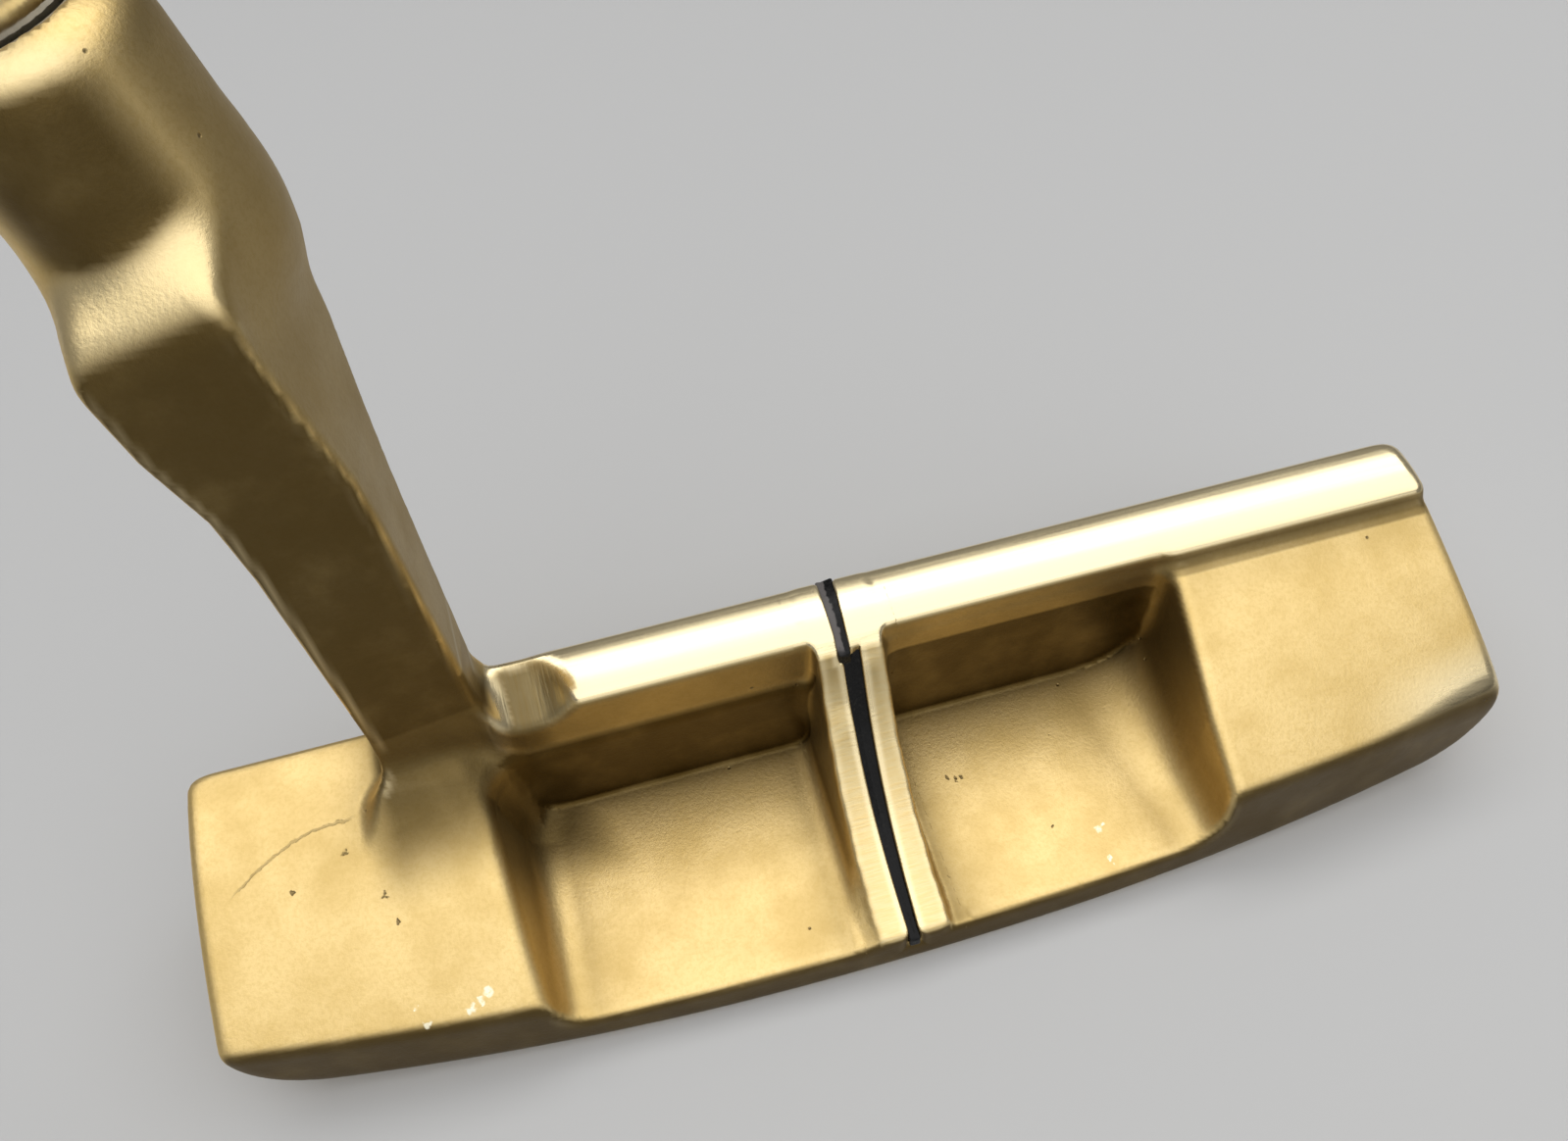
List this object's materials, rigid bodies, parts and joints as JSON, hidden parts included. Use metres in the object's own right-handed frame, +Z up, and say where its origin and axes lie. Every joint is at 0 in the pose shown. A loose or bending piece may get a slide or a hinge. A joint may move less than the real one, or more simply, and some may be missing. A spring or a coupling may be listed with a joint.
{
  "type": "blade putter",
  "caption": "Right-handed heel-toe weighted blade putter in cast brass, with a plumber's neck, stepped chrome shaft and pistol grip.",
  "frame": {"origin": "on the ground under the middle of the sole, where the head is soled", "axes": "+X from heel to toe, +Y to the target, the way the face looks, +Z up the club from the ground"},
  "size_m": [0.3015, 0.0439, 0.8686],
  "materials": {
    "brass": "cast and satin, machined and polished along the topline, sight rib and scallop",
    "black_enamel": "gloss black paint fill",
    "epoxy": "cured adhesive",
    "chrome_steel": "bright chrome plated steel",
    "cork": "raw cork",
    "paper_tape": "masking paper",
    "grip_rubber": "moulded matte rubber with a fine pattern",
    "cap_plastic": "hard moulded rubber, smooth"
  },
  "bodies": {
    "root": {"head_casting": "brass", "topline_sight_fill": "black_enamel", "rib_sight_fill": "black_enamel", "hosel_epoxy": "epoxy", "shaft": "chrome_steel", "shaft_tip_plug": "cork", "grip_tape": "paper_tape", "grip": "grip_rubber", "grip_cap": "cap_plastic"}
  },
  "joints": []
}
